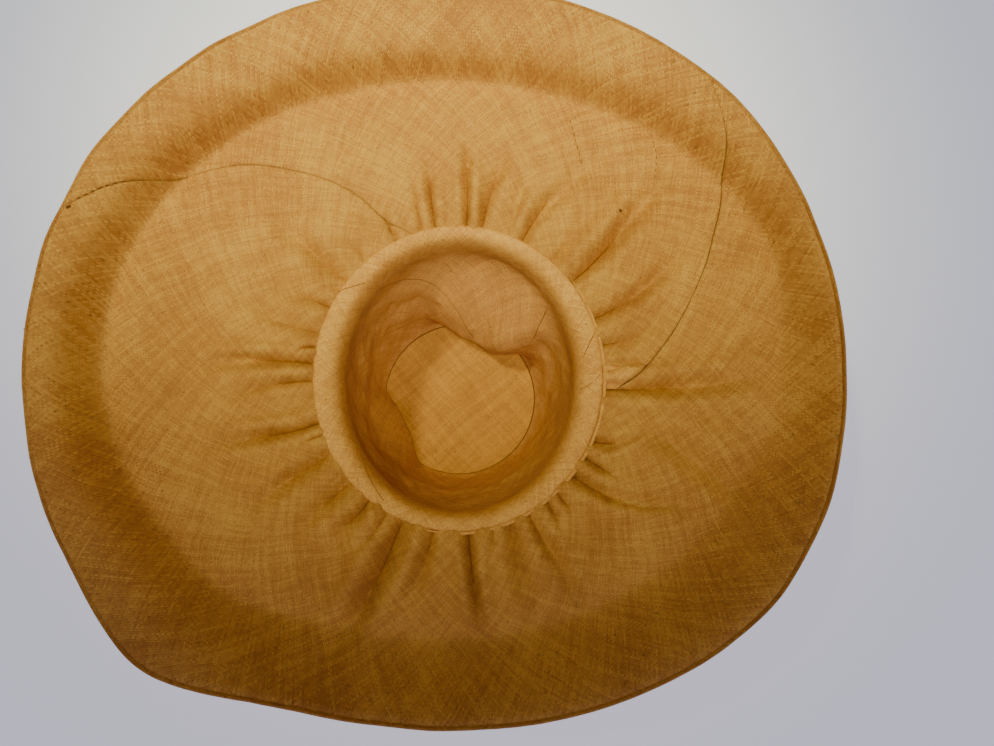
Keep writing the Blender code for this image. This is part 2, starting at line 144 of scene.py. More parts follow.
def woven_sheet(name, middle, weave, closed, cap=False, tone=None):
    """A sheet of cloth with two faces, from a grid of mid-surface points with weave coordinates.

    The grid's columns wrap round if closed, and its first row is capped if it shrinks to a point.
    The weave grid has one more column than the points where the columns wrap round.
    """
    rows, columns = middle.shape[:2]
    if closed:
        padded = np.concatenate((middle[:, -1:], middle, middle[:, :1]), axis=1)
        around = (padded[:, 2:] - padded[:, :-2]) * 0.5
    else:
        around = np.gradient(middle, axis=1)
    along = np.gradient(middle, axis=0)
    normal = np.cross(along, around)
    normal /= np.maximum(np.linalg.norm(normal, axis=2, keepdims=True), 1e-12)
    top = (middle + normal * CLOTH * 0.5).reshape(-1, 3)
    bottom = (middle - normal * CLOTH * 0.5).reshape(-1, 3)
    count = rows * columns

    spans = columns if closed else columns - 1
    row, column = np.meshgrid(np.arange(rows - 1), np.arange(spans), indexing="ij")
    row, column = row.ravel(), column.ravel()
    after = (column + 1) % columns
    a, b = row * columns + column, (row + 1) * columns + column
    c, d = (row + 1) * columns + after, row * columns + after
    wide = columns + (1 if closed else 0)
    ua, ub = row * wide + column, (row + 1) * wide + column
    uc, ud = ub + 1, ua + 1
    faces = [np.stack((a, b, c, d), 1), np.stack((d, c, b, a), 1) + count]
    places = [np.stack((ua, ub, uc, ud), 1), np.stack((ud, uc, ub, ua), 1)]

    def wall(start, end, place_start, place_end):
        faces.append(np.stack((start, end, end + count, start + count), 1))
        places.append(np.stack((place_start, place_end, place_end, place_start), 1))

    edge = np.arange(spans)
    last = (rows - 1) * columns
    if not cap:
        wall((edge + 1) % columns, edge, edge + 1, edge)
    wall(last + edge, last + (edge + 1) % columns,
         (rows - 1) * wide + edge, (rows - 1) * wide + edge + 1)
    if not closed:
        side, right = np.arange(rows - 1), columns - 1
        wall(side * columns, (side + 1) * columns, side * wide, (side + 1) * wide)
        wall((side + 1) * columns + right, side * columns + right,
             (side + 1) * wide + right, side * wide + right)

    faces, places = np.concatenate(faces), np.concatenate(places)
    points = np.concatenate((top, bottom))
    polygons = faces.tolist()
    corners = places.ravel().tolist()
    if cap:
        ring = list(range(columns))
        polygons.append(ring)
        polygons.append([count + index for index in reversed(ring)])
        corners += ring + ring[::-1]
    mesh = bpy.data.meshes.new(name)
    mesh.from_pydata(points.tolist(), [], polygons)
    layer = mesh.uv_layers.new(name="Weave")
    layer.data.foreach_set("uv", weave.reshape(-1, 2)[np.array(corners)].astype(np.float32).ravel())
    # the tone, when given, is painted shade: the dark line along the brim's seams, kept as a point
    # attribute
    if tone is not None:
        shade = mesh.attributes.new("Seam", "FLOAT", "POINT")
        shade.data.foreach_set("value", np.tile(tone.ravel(), 2).astype(np.float32))
    mesh.shade_smooth()
    mesh.set_sharp_from_angle(angle=math.radians(75.0))
    return put_in_scene(name, mesh)


def add_node(tree, kind, settings=None, **inputs):
    """Add a shader node, with settings as its properties and inputs as sockets to set or link."""
    made = tree.nodes.new(kind)
    for key, value in (settings or {}).items():
        setattr(made, key, value)
    for key, value in inputs.items():
        name = key.replace("_", " ").strip()
        socket = made.inputs[int(name)] if name.isdigit() else made.inputs[name]
        if isinstance(value, bpy.types.NodeSocket):
            tree.links.new(value, socket)
        else:
            socket.default_value = value
    return made


def calculate(tree, operation, first, second=0.0, third=0.0):
    """The result of a Math node."""
    made = add_node(tree, "ShaderNodeMath", {"operation": operation}, _0=first, _1=second, _2=third)
    return made.outputs[0]


def make_raffia_group():
    """Plain-woven raffia: yarns over and under each other, each with its own tone and thickness.

    Weave is a place counted in yarns both ways. Height is the relief of the yarns, Tone their
    lightness, the gap output the low places between the yarns, which are darkened as painted shade,
    and Slub the few dark knots and joins.
    """
    group = bpy.data.node_groups.new("raffia weave", "ShaderNodeTree")
    faces = group.interface
    faces.new_socket("Weave", in_out="INPUT", socket_type="NodeSocketVector")
    faces.new_socket("Streaks", in_out="INPUT", socket_type="NodeSocketFloat")
    for name in ("Height", "Tone", "GapShade", "Slub"):
        faces.new_socket(name, in_out="OUTPUT", socket_type="NodeSocketFloat")
    start = group.nodes.new("NodeGroupInput")
    end = group.nodes.new("NodeGroupOutput")

    drift = add_node(group, "ShaderNodeTexNoise", {"noise_dimensions": "2D"},
                     Vector=start.outputs["Weave"], Scale=0.028, Detail=2.0)
    spread = add_node(group, "ShaderNodeVectorMath", {"operation": "MULTIPLY_ADD"},
                      _0=drift.outputs["Color"], _1=(5.0, 5.0, 0.0), _2=start.outputs["Weave"])
    place = add_node(group, "ShaderNodeSeparateXYZ", Vector=spread.outputs[0])
    across, along = place.outputs["X"], place.outputs["Y"]

    def strand(own, other, shift):
        """One family of yarns: its height and its tone."""
        number = calculate(group, "FLOOR", own)
        inside = calculate(group, "FRACT", own)
        hump = calculate(group, "MULTIPLY", inside, calculate(group, "SUBTRACT", 1.0, inside))
        phase = calculate(group, "ADD", calculate(group, "ADD", other, number), shift)
        wave = calculate(group, "SINE", calculate(group, "MULTIPLY", phase, math.pi))
        lift = calculate(group, "MULTIPLY_ADD", wave, 1.8, 3.0)
        height = calculate(group, "MULTIPLY", hump, lift)

        def uneven(step, start_place, stretch, **settings):
            """Noise that changes from yarn to yarn, and slowly along each."""
            spot = add_node(group, "ShaderNodeCombineXYZ",
                            X=calculate(group, "MULTIPLY_ADD", number, step, start_place),
                            Y=calculate(group, "MULTIPLY", other, stretch))
            noise = add_node(group, "ShaderNodeTexNoise", {"noise_dimensions": "2D"},
                             Vector=spot.outputs[0], Scale=1.0, **settings)
            return noise.outputs["Fac"]

        tint = uneven(5.37, shift * 91.0, 0.035, Detail=2.0, Roughness=0.6)
        bands = calculate(group, "SUBTRACT", uneven(0.21, shift * 37.0, 0.006, Detail=1.0), 0.5)
        bands = calculate(group, "MULTIPLY", bands, start.outputs["Streaks"])
        return height, calculate(group, "ADD", tint, bands), number

    warp, warp_tone, warp_number = strand(across, along, 0.0)
    weft, weft_tone, weft_number = strand(along, across, 1.0)
    over = calculate(group, "GREATER_THAN", warp, weft)
    height = calculate(group, "MAXIMUM", warp, weft)
    tone = add_node(group, "ShaderNodeMix", {"data_type": "FLOAT"}, _0=over)
    group.links.new(weft_tone, tone.inputs[2])
    group.links.new(warp_tone, tone.inputs[3])
    patch = add_node(group, "ShaderNodeTexNoise", {"noise_dimensions": "2D"},
                     Vector=start.outputs["Weave"], Scale=0.022, Detail=4.0)
    patches = calculate(group, "MULTIPLY_ADD", patch.outputs["Fac"], 0.55, tone.outputs[0])
    patched = calculate(group, "SUBTRACT", patches, 0.395)
    # painted shade: this marks the low places between the yarns, where the colour is darkened
    gap_shade = add_node(group, "ShaderNodeMapRange", {"interpolation_type": "SMOOTHSTEP"},
                   Value=height, From_Min=0.1, From_Max=0.55, To_Min=1.0, To_Max=0.0)
    crossing = add_node(group, "ShaderNodeCombineXYZ", X=warp_number, Y=weft_number)
    dice = add_node(group, "ShaderNodeTexWhiteNoise", {"noise_dimensions": "2D"},
                    Vector=crossing.outputs[0])
    slub = calculate(group, "GREATER_THAN", dice.outputs["Value"], 0.998)
    speckled = calculate(group, "MULTIPLY_ADD", dice.outputs["Value"], 0.24, patched)
    group.links.new(height, end.inputs["Height"])
    group.links.new(speckled, end.inputs["Tone"])
    group.links.new(gap_shade.outputs[0], end.inputs["GapShade"])
    group.links.new(slub, end.inputs["Slub"])
    return group


raffia_weave = make_raffia_group()


def matte_material(name, roughness, specular):
    """A new material, its node tree and its shader."""
    material = bpy.data.materials.new(name)
    material.use_nodes = True
    shader = material.node_tree.nodes["Principled BSDF"]
    shader.inputs["Roughness"].default_value = roughness
    shader.inputs["Specular IOR Level"].default_value = specular
    return material, material.node_tree, shader


def colour_ramp(tree, tone, *stops):
    """The colour for each tone, from stops as (tone, colour) that run from the lowest up."""
    ramp = add_node(tree, "ShaderNodeValToRGB", Fac=tone)
    elements = ramp.color_ramp.elements
    for element, (place, colour) in zip(elements, (stops[0], stops[-1])):
        element.position, element.color = place, (*colour, 1.0)
    for place, colour in stops[1:-1]:
        elements.new(place).color = (*colour, 1.0)
    return ramp.outputs["Color"]


def straw_cloth(name, tones, yarns, streaks=0.9, relief=0.00022, glow=0.16, seam=False):
    """Raffia cloth in dark, middle and light tones, with so many yarns to a unit of its map."""
    material, tree, shader = matte_material(name, 0.68, 0.16)
    dark, middle, light = tones

    def tinted(colour, amount, tint):
        """A colour that turns towards a tint by an amount."""
        mix = add_node(tree, "ShaderNodeMix", {"data_type": "RGBA"}, _0=amount)
        tree.links.new(colour, mix.inputs[6])
        mix.inputs[7].default_value = (*tint, 1.0)
        return mix.outputs[2]

    place = add_node(tree, "ShaderNodeUVMap", {"uv_map": "Weave"})
    scaled = add_node(tree, "ShaderNodeVectorMath", {"operation": "MULTIPLY"},
                      _0=place.outputs[0], _1=(yarns, yarns, 0.0))
    weave = add_node(tree, "ShaderNodeGroup", {"node_tree": raffia_weave},
                     Weave=scaled.outputs[0], Streaks=streaks)
    colour = colour_ramp(tree, weave.outputs["Tone"], (0.22, dark), (0.5, middle), (0.78, light))
    # painted shade between the yarns: the colour turns darker where the weave is low
    painted_gap_shade = calculate(tree, "MULTIPLY", weave.outputs["GapShade"], 0.35)
    colour = tinted(colour, painted_gap_shade, [value * 0.45 for value in dark])
    knots = calculate(tree, "MULTIPLY", weave.outputs["Slub"], 0.5)
    colour = tinted(colour, knots, (0.13, 0.045, 0.006))
    # painted shade along the seams: the colour turns dark brown along the line, for the joint's
    # darker colour and the shade in its lap
    if seam:
        seam_shade = add_node(tree, "ShaderNodeAttribute", {"attribute_name": "Seam"})
        colour = tinted(colour, seam_shade.outputs["Fac"], (0.12, 0.045, 0.01))
    tree.links.new(colour, shader.inputs["Base Color"])
    bump = add_node(tree, "ShaderNodeBump", Strength=1.0, Distance=relief,
                    Height=weave.outputs["Height"])
    tree.links.new(bump.outputs[0], shader.inputs["Normal"])
    glowing = add_node(tree, "ShaderNodeBsdfTranslucent", Color=colour, Normal=bump.outputs[0])
    blend = add_node(tree, "ShaderNodeMixShader", _0=glow)
    tree.links.new(shader.outputs[0], blend.inputs[1])
    tree.links.new(glowing.outputs[0], blend.inputs[2])
    tree.links.new(blend.outputs[0], tree.nodes["Material Output"].inputs["Surface"])
    return material


direction = directions_round(TIP_COLUMNS)
share = np.linspace(0.02, 1.0, TIP_RINGS)[:, None]
reach = (TIP_RADIUS - dent_depth(direction, TIP_SEAM_HEIGHT)) * share
tip_x, tip_y = (reach * part for part in step_towards(direction))
turned_up = np.clip((share - TIP_FLAT) / (1.0 - TIP_FLAT), 0.0, 1.0)
tip_z = CLOTH * 0.5 + TIP_EDGE_LIFT * turned_up ** 2 + 0.0 * tip_x
buckle = TIP_BUCKLE * (1.0 + ripple(tip_x, tip_y, TIP_BUCKLE_SIZE, 3)) * fade(share * 0.98)
tip_z = tip_z + np.maximum(buckle, 0.0) * (1.0 - turned_up)
grain = math.radians(TIP_GRAIN)
weave_x, weave_y = (np.concatenate((part, part[:, :1]), axis=1) for part in (tip_x, tip_y))
tip_weave = np.stack((weave_x * math.cos(grain) + weave_y * math.sin(grain),
                      -weave_x * math.sin(grain) + weave_y * math.cos(grain)), axis=2)
tip = np.stack((tip_x, tip_y, tip_z), axis=2)
tip_cloth = woven_sheet("tip_cloth", tip, tip_weave, True, cap=True)
tip_cloth.data.materials.append(straw_cloth("tip straw", TIP_TONES, 1.0 / TIP_YARN))
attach(tip_cloth, "root")
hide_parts("crown_tip")


# The crown's wall
# One tapering panel of the same cloth on the bias, soft enough to have sunk in over the tip. It
# hangs from the opening, under the band, and its spiral joins show as thin dark lines.
HEAD_CENTRE = (0.004, 0.006, 0.11)
CROWN_UPRIGHT = 0.094
CROWN_COLUMNS = 340
CROWN_ROWS = 110
WALL_REACH = 0.075
WALL_YARN = 0.00115
WALL_TONES = ((0.53, 0.236, 0.056), (0.65, 0.313, 0.07), (0.77, 0.402, 0.088))
CROWN_SECTIONS = (
    # height, half_width, half_length
    (0.0012, 0.0572, 0.0572), (0.003, 0.0577, 0.0577), (0.008, 0.06, 0.0606),
    (0.015, 0.0622, 0.0634), (0.024, 0.0642, 0.0664), (0.034, 0.0662, 0.0697),
    (0.046, 0.0686, 0.0735), (0.062, 0.0716, 0.0785), (0.08, 0.074, 0.0835),
    (0.09, 0.074, 0.0847), (0.096, 0.0741, 0.085), (0.1, 0.075, 0.0859),
    (0.1035, 0.0768, 0.0876),
)


def curve_between(share, span, start, end, start_slope, end_slope):
    """A smooth curve's values between two knots, from the knots' values and slopes."""
    square, cube = share ** 2, share ** 3
    return (start * (2 * cube - 3 * square + 1) + end * (3 * square - 2 * cube)
            + start_slope * span * (cube - 2 * square + share) + end_slope * span * (cube - square))


def interpolate(rows, at, column, period=None):
    """Values of one column of a table at many keys, on a smooth curve through its rows."""
    keys = np.array([row[0] for row in rows], dtype=float)
    values = np.array([row[column] for row in rows], dtype=float)
    at = np.asarray(at, dtype=float)
    if period:
        at = at % period
        keys = np.concatenate((keys - period, keys, keys + period))
        values = np.tile(values, 3)
    slopes = np.gradient(values, keys)
    index = np.clip(np.searchsorted(keys, at) - 1, 0, len(keys) - 2)
    span = keys[index + 1] - keys[index]
    share = np.clip((at - keys[index]) / span, 0.0, 1.0)
    return curve_between(share, span, values[index], values[index + 1],
                         slopes[index], slopes[index + 1])


def ellipse_reach(half_width, half_length, direction):
    """Distance from an ellipse's centre to its edge, in directions in degrees."""
    angle = np.radians(direction)
    return 1.0 / np.hypot(np.cos(angle) / half_width, np.sin(angle) / half_length)


def wall_surface(direction, height, inward=0.0):
    """Points of the wall's mid-surface, or of a surface that lies inward of it."""
    half_width, half_length = (interpolate(CROWN_SECTIONS, height, column) for column in (1, 2))
    reach = ellipse_reach(half_width, half_length, direction)
    reach = reach - dent_depth(direction, height) - inward
    around, soft = np.radians(direction) * 0.07, fade((height - 0.05) / 0.05)
    waves = 0.0009 * ripple(around, height, 0.034, 11) + 0.0002 * ripple(around, height, 0.012, 12)
    reach = reach + waves * soft
    lean = np.minimum(height / CROWN_UPRIGHT, 1.0)
    step_x, step_y = step_towards(direction)
    return np.stack((HEAD_CENTRE[0] * lean + reach * step_x, HEAD_CENTRE[1] * lean + reach * step_y,
                     height + 0.0 * direction), axis=-1)


def on_bias(along, across):
    """Weave coordinates of cloth whose yarns run at 45 degrees to both of its own directions."""
    return np.stack(((along + across) * math.sqrt(0.5), (along - across) * math.sqrt(0.5)), axis=2)


direction = directions_round(CROWN_COLUMNS)[None, :]
steps = np.linspace(0.0, 1.0, CROWN_ROWS)
table_heights, table_widths = np.array(CROWN_SECTIONS)[:, :2].T
slant = np.concatenate(([0.0], np.cumsum(np.hypot(np.diff(table_heights), np.diff(table_widths)))))
height = np.interp(steps * slant[-1], slant, table_heights)[::-1, None]
down = (steps * slant[-1])[:, None]
wall = wall_surface(direction, height)
turns = np.radians(directions_round(CROWN_COLUMNS, 1))[None, :]
wall_cloth = woven_sheet("wall_cloth", wall, on_bias(turns, down / WALL_REACH), True)
wall_straw = straw_cloth("wall straw", WALL_TONES, WALL_REACH / WALL_YARN, streaks=0.6)
wall_cloth.data.materials.append(wall_straw)
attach(wall_cloth, "root")
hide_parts("crown_side")


# The sewing of the crown
# A dark thread closes the joint round the tip. The wall's one join runs over the sunken place,
# where a few thicker yarns of the cloth stand out as dark arcs. Down the crease beside it a brown
# yarn is laid as painted shade of that fold.
CROWN_THREADS = (
    # kind, radius, places as (direction, height)
    ("join", 0.00038, ((133, 0.094), (126, 0.086), (120, 0.078), (106, 0.0655), (98, 0.057),
                       (92, 0.049), (85, 0.041), (76, 0.031))),
    ("yarn", 0.0003, ((98, 0.0805), (89, 0.0675), (78, 0.0565), (63, 0.046), (49, 0.04))),
    ("yarn", 0.00027, ((89, 0.083), (78, 0.073), (66, 0.064), (51, 0.058))),
    ("yarn", 0.00024, ((78, 0.0875), (68, 0.0805), (57, 0.0755), (47, 0.069))),
    ("yarn", 0.00024, ((94, 0.082), (84, 0.07), (72, 0.06), (58, 0.051))),
    # painted shade: a brown yarn laid along the crease beside the sunken place
    ("crease", 0.0005, ((39.5, 0.0815), (37.5, 0.0715), (34.5, 0.0605), (33, 0.046), (31, 0.03))),
    ("yarn", 0.00026, ((136, 0.031), (126, 0.025), (117, 0.021), (110, 0.0265))),
)
TIP_THREAD_RADIUS = 0.00036
TIP_THREAD_HEIGHT = 0.0033
TIP_THREAD_OUT = 0.0003


def lay_threads(name, paths, material):
    """One mesh of thin round threads, each a path of points with a radius, closed at its ends."""
    points, faces = [], []
    sides = 6
    for path, radius in paths:
        path = np.asarray(path)
        along = np.gradient(path, axis=0)
        along /= np.linalg.norm(along, axis=1, keepdims=True)
        side = np.cross(along, (0.0, 0.0, 1.0))
        side /= np.maximum(np.linalg.norm(side, axis=1, keepdims=True), 1e-9)
        over = np.cross(side, along)
        first = len(points)
        for turn in range(len(path)):
            for corner in range(sides):
                angle = 2.0 * math.pi * corner / sides
                points.append(path[turn] + radius * (side[turn] * math.cos(angle)
                                                     + over[turn] * math.sin(angle)))
        for turn in range(len(path) - 1):
            for corner in range(sides):
                here, there = first + turn * sides, first + (turn + 1) * sides
                nxt = (corner + 1) % sides
                faces.append((here + corner, here + nxt, there + nxt, there + corner))
        faces.append(tuple(first + corner for corner in reversed(range(sides))))
        faces.append(tuple(first + (len(path) - 1) * sides + corner for corner in range(sides)))
    mesh = bpy.data.meshes.new(name)
    mesh.from_pydata([tuple(point) for point in points], [], faces)
    mesh.shade_smooth()
    mesh.materials.append(material)
    piece = put_in_scene(name, mesh)
    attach(piece, "root")
    return piece


def smooth_way(places, each=10):
    """A finer run of places, each with two numbers, on a smooth curve through the given ones."""
    rows = [(number, *place) for number, place in enumerate(places)]
    at = np.linspace(0.0, len(rows) - 1.0, (len(rows) - 1) * each + 1)
    return interpolate(rows, at, 1), interpolate(rows, at, 2)


def thread_material(name, colour, twist=2600.0):
    """A spun thread: one colour, with small noise flecks painted darker and lighter as the shade
    and light on its turns.
    """
    material, tree, shader = matte_material(name, 0.75, 0.15)
    place = add_node(tree, "ShaderNodeTexCoord")
    spun = add_node(tree, "ShaderNodeTexNoise",
                    Vector=place.outputs["Object"], Scale=twist, Detail=1.0)
    # painted shade and highlight: noise flecks darker and lighter than the thread's colour
    darker, lighter = ([min(value * change, 1.0) for value in colour] for change in (0.6, 1.3))
    tree.links.new(colour_ramp(tree, spun.outputs["Fac"], (0.35, darker), (0.65, lighter)),
                   shader.inputs["Base Color"])
    return material


dark_thread = thread_material("dark thread", (0.17, 0.066, 0.012))
brown_yarn = thread_material("brown yarn", (0.3, 0.122, 0.018))
around = np.linspace(0.0, 360.0, 721)
tip_edge = TIP_RADIUS - dent_depth(around, TIP_SEAM_HEIGHT) + TIP_THREAD_OUT
tip_path = np.stack((*(tip_edge * part for part in step_towards(around)),
                     TIP_THREAD_HEIGHT + 0.0 * around), axis=1)
tip_thread = lay_threads("tip_thread", [(tip_path, TIP_THREAD_RADIUS)], dark_thread)

joins, yarns = [], []
for kind, radius, places in CROWN_THREADS:
    thread_direction, thread_height = smooth_way(places)
    laid = wall_surface(thread_direction, thread_height, CLOTH * 0.5 - 0.3 * radius)
    (yarns if kind == "yarn" else joins).append((laid, radius))
# one mesh holds the join and the crease's painted shade
crown_join_and_crease_shade = lay_threads("crown_join_and_crease_shade", joins, brown_yarn)
crown_yarns = lay_threads("crown_yarns", yarns, brown_yarn)


# The band in the opening
# A strip of fine pale cloth on the bias, folded over and rolled round the edge of the opening, so
# that it covers the seam between the crown and the gathered brim.
HEAD_HALF_WIDTH = 0.0905
HEAD_HALF_LENGTH = 0.096
BAND_WIDTH_SIDES = 0.0173
BAND_WIDTH_ENDS = 0.0117
BAND_COLUMNS = 460
BAND_POINTS = 44
BAND_SCALE = 0.015
BAND_REACH = 0.085
BAND_GIRTH = 0.04
BAND_YARN = 0.001
BAND_TONES = ((0.58, 0.264, 0.05), (0.71, 0.352, 0.066), (0.83, 0.458, 0.086))
BAND_SECTION = (
    # across, rise
    (0.0, -0.0009), (0.0, 0.0018), (0.06, 0.0031), (0.215, 0.0036), (0.47, 0.0031),
    (0.74, 0.0006), (0.925, -0.0052), (1.0, -0.014), (0.9, -0.0142), (0.815, -0.0082),
    (0.635, -0.0033), (0.4, 0.0004), (0.22, 0.0014), (0.135, -0.0009),
)


def head_reach(direction):
    """Distance from the centre of the opening to the brim seam."""
    return ellipse_reach(HEAD_HALF_WIDTH, HEAD_HALF_LENGTH, direction)


def rolled_strip(name, sections, weave, closed=True):
    """A strip swept round the hat, from a grid of section points with weave coordinates.

    It closes on itself and runs counterclockwise, or runs clockwise and has two capped ends.
    """
    columns, size = sections.shape[:2]
    wide = size + 1
    column, point = np.meshgrid(np.arange(columns - (not closed)), np.arange(size), indexing="ij")
    column, point = column.ravel(), point.ravel()
    there, after = (column + 1) % columns, (point + 1) % size
    faces = np.stack((column * size + point, there * size + point,
                      there * size + after, column * size + after), 1)
    places = np.stack((column * wide + point, (column + 1) * wide + point,
                       (column + 1) * wide + point + 1, column * wide + point + 1), 1)
    order = [0, 1, 2, 3] if closed else [0, 3, 2, 1]
    faces, places = faces[:, order].tolist(), places[:, order].ravel().tolist()
    if not closed:
        ring = list(range(size))
        faces += [ring[::-1], [(columns - 1) * size + index for index in ring]]
        places += ring + [(columns - 1) * wide + index for index in ring]
    mesh = bpy.data.meshes.new(name)
    mesh.from_pydata(sections.reshape(-1, 3).tolist(), [], faces)
    layer = mesh.uv_layers.new(name="Weave")
    layer.data.foreach_set("uv", weave.reshape(-1, 2)[places].astype(np.float32).ravel())
    mesh.shade_smooth()
    return put_in_scene(name, mesh)


def smooth_loop(points, count, rounding=3):
    """Points spaced evenly round a closed outline whose corners have been rounded off."""
    loop = np.array(points, dtype=float)
    for _ in range(rounding):
        after = np.roll(loop, -1, axis=0)
        pair = (loop * 0.75 + after * 0.25, loop * 0.25 + after * 0.75)
        loop = np.stack(pair, axis=1).reshape(-1, 2)
    closed = np.concatenate((loop, loop[:1]))
    lengths = np.concatenate(([0.0], np.cumsum(np.linalg.norm(np.diff(closed, axis=0), axis=1))))
    even = np.arange(count) / count * lengths[-1]
    return np.stack([np.interp(even, lengths, closed[:, axis]) for axis in range(2)], axis=1)


direction = directions_round(BAND_COLUMNS)[:, None]
outline = smooth_loop([(across * BAND_SCALE, rise) for across, rise in BAND_SECTION], BAND_POINTS)
across, rise = outline[None, :, 0] / BAND_SCALE, outline[None, :, 1]


def band_surface(direction, across, rise):
    """Points of the band, with the unevenness of cloth that was folded by hand."""
    sideways = np.cos(np.radians(direction)) ** 2
    inward = across * (BAND_WIDTH_ENDS + (BAND_WIDTH_SIDES - BAND_WIDTH_ENDS) * sideways)
    around = np.radians(direction) * 0.09
    lump = 0.00028 * ripple(around, inward, 0.014, 21) + 0.0001 * ripple(around, inward, 0.005, 22)
    reach = head_reach(direction) - inward
    step_x, step_y = step_towards(direction)
    return np.stack((HEAD_CENTRE[0] + reach * step_x, HEAD_CENTRE[1] + reach * step_y,
                     HEAD_CENTRE[2] + rise + lump * (rise > -0.006)), axis=-1)


band = band_surface(direction, across, rise)
turns = (np.radians(directions_round(BAND_COLUMNS, 1)) * BAND_REACH)[:, None]
around_section = (np.arange(BAND_POINTS + 1) / BAND_POINTS * BAND_GIRTH)[None, :]
band_roll = rolled_strip("band_roll", band, on_bias(turns, around_section))
band_straw = straw_cloth("band straw", BAND_TONES, 1.0 / BAND_YARN, streaks=0.35,
                         relief=0.00012, glow=0.1)
band_roll.data.materials.append(band_straw)
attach(band_roll, "root")
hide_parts("head_band")


# The sewing of the band
# The strip is joined on the bias in four places, and its outer edge is turned under. On the right
# and near sides that turned edge stands out beside the band as a second, narrow fold.
BAND_JOINS = (
    # places as (direction, share across the band)
    ((145, 0.02), (141, 0.313), (135, 0.7)),
    ((240, 0.42), (231, 0.7), (223, 0.88)),
    ((18, 0.02), (14, 0.351), (8.5, 0.66)),
    ((0, 0.127), (-4, 0.474), (-6.5, 0.8)),
)
BAND_JOIN_RADIUS = 0.00024
SECOND_FOLD_START = 46.0
SECOND_FOLD_END = -112.0
SECOND_FOLD_COLUMNS = 500
SECOND_FOLD_SIDES = 12
SECOND_FOLD_RADIUS = 0.0011
SECOND_FOLD_RISE = 0.0019
SECOND_FOLD_REACH = 0.095
SECOND_FOLD_GIRTH = 0.007


def band_rise(across):
    """Height of the band's upper side at a share across it."""
    return np.interp(across, *zip(*BAND_SECTION[1:8]))


joins = []
for places in BAND_JOINS:
    join_direction, join_across = smooth_way(places)
    laid = band_surface(join_direction, join_across, band_rise(join_across) + 0.00002)
    joins.append((laid, BAND_JOIN_RADIUS))
band_joins = lay_threads("band_joins", joins, brown_yarn)

fold_direction = np.linspace(SECOND_FOLD_START, SECOND_FOLD_END, SECOND_FOLD_COLUMNS)
fold_share = (fold_direction - SECOND_FOLD_START) / (SECOND_FOLD_END - SECOND_FOLD_START)
fold_size = SECOND_FOLD_RADIUS * fade(fold_share * 2.0 - 1.0, 8)
fold_turn = (np.arange(SECOND_FOLD_SIDES) / SECOND_FOLD_SIDES * 2.0 * math.pi)[None, :, None]
fold_across = -0.055 + 0.018 * np.sin(np.radians(fold_direction) * 5.0)
fold_middle = band_surface(fold_direction, fold_across, SECOND_FOLD_RISE + 0.0 * fold_direction)
outward = np.stack((*step_towards(fold_direction), 0.0 * fold_direction), axis=1)
size = np.maximum(fold_size, 0.00008)[:, None, None]
fold = (fold_middle[:, None, :] + outward[:, None, :] * np.cos(fold_turn) * size
        + np.array((0.0, 0.0, 1.0)) * np.sin(fold_turn) * size * 0.9)
fold_along = (np.radians(fold_direction) * SECOND_FOLD_REACH)[:, None]
fold_girth = (np.arange(SECOND_FOLD_SIDES + 1) / SECOND_FOLD_SIDES * SECOND_FOLD_GIRTH)[None, :]
band_fold = rolled_strip("band_fold", fold, on_bias(fold_along, fold_girth), closed=False)
band_fold.data.materials.append(band_straw)
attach(band_fold, "root")


# The brim's two panels
# Each is raffia cloth cut in a curve and gathered into the opening, where its fullness stands in
# furrows. They are joined along two spiral seams, the upper panel lapped over the lower one. A
# dark line is painted along each seam: the joint's own darker colour together with painted shade
# of the lap, heavier on the right seam.
BRIM_ROWS = 100
UPPER_COLUMNS = 230
LOWER_COLUMNS = 470
HEM_WIDTH = 0.0034
SEAM_GAP = 0.0004
LAP = 0.003
TUCK = 0.0022
OVER_HEM = 0.0027
TUCK_DROP = 0.0019
BEND_FOOT = 0.0018
BEND_FOOT_WIDTH = 0.006
BEND_SWELL = 0.0024
BEND_SWELL_PLACE = 0.007
BEND_SWELL_WIDTH = 0.01
SEAM_DROP = 0.0023
SEAM_DROP_WIDTH = 0.0016
# width of the dark line painted as seam shade
SEAM_SHADE_WIDTH = 0.0007
LEFT_SEAM_STRENGTH = 0.55
BRIM_YARNS_ROUND = 180.0
UPPER_GRAIN = 43.0
LOWER_GRAIN = 48.0
BRIM_TONES = ((0.52, 0.218, 0.04), (0.66, 0.318, 0.054), (0.8, 0.444, 0.074))


def in_metres(rows, directions):
    """Rows of a table with its lengths in metres, after so many directions."""
    return [row[:directions] + tuple(size / 1000.0 for size in row[directions:]) for row in rows]


BRIM_SECTIONS = in_metres((
    # direction, flat_reach, bend_reach, rim_reach, flat_height, bend_height, rim_height (mm)
    (0, 195, 219, 225, 13, 36, 39), (22, 208, 219.5, 229, 12, 31, 37),
    (45, 199, 211.2, 231.2, 10, 30, 42), (65, 190.3, 201.7, 230.8, 9, 27.5, 43),
    (90, 189, 199, 232, 8, 24, 43), (110, 193.5, 206.5, 236.4, 9, 30.5, 43),
    (130, 204, 214, 242.3, 11, 27.5, 44), (150, 214, 226.8, 248, 12, 33, 43),
    (170, 216.5, 232.5, 246, 13, 38.5, 44), (190, 209.5, 227, 241, 13, 40.5, 45),
    (210, 195.5, 211, 235, 13, 37, 50), (225, 186, 205, 229, 13, 40, 58),
    (240, 168, 194, 206.5, 12, 45, 57), (260, 158, 187, 195.5, 12, 47, 53),
    (285, 157, 186, 196.5, 12, 47, 54), (305, 163, 194, 205.5, 12, 46, 53),
    (322, 172, 206, 216, 12, 46, 51), (340, 184, 214, 221.5, 13, 42, 47),
), 1)
